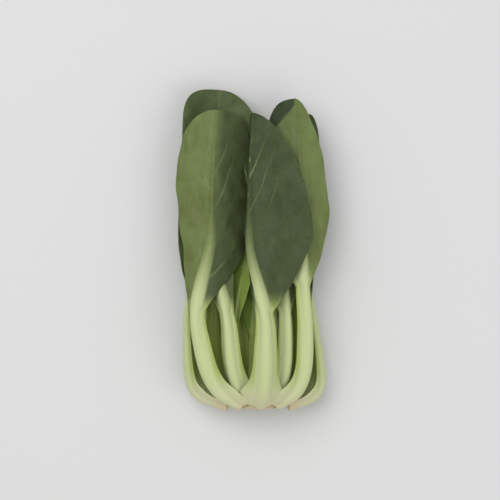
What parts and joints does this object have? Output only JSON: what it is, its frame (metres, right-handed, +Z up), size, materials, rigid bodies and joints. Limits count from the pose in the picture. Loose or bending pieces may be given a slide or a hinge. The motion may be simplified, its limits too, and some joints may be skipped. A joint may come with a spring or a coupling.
{
  "type": "head of baby bok choy",
  "caption": "Small green-stalked bok choy head lying on its back: pale fleshy stalks fan out of a trimmed base into dark spoon-shaped leaves.",
  "frame": {"origin": "middle of the outline where the head lies on the surface", "axes": "+Y along the head from the trimmed foot to the leaf tips, +Z up from the surface, +X to the right as seen from above with the tips away"},
  "size_m": [0.0952, 0.2, 0.0521],
  "materials": {
    "stem": "damp cut stem, cream with fine rings",
    "outer_leaf": "waxy leaf with a pale fleshy stalk",
    "inner_leaf": "soft satin dark leaf with a pale stalk",
    "heart_leaf": "young yellow-green leaf, satin"
  },
  "bodies": {
    "root": {"stem_base": "stem", "leaf_front": "outer_leaf", "leaf_front_left": "outer_leaf", "leaf_front_right": "outer_leaf", "leaf_inner_front_left": "inner_leaf", "leaf_inner_front_right": "inner_leaf", "leaf_side_left": "outer_leaf", "leaf_side_right": "outer_leaf", "leaf_inner_back_left": "inner_leaf", "leaf_inner_back_right": "inner_leaf", "leaf_back_left": "outer_leaf", "leaf_back_right": "outer_leaf", "heart_leaf_left": "heart_leaf", "heart_leaf_right": "heart_leaf", "heart_leaf_back": "heart_leaf"}
  },
  "joints": []
}
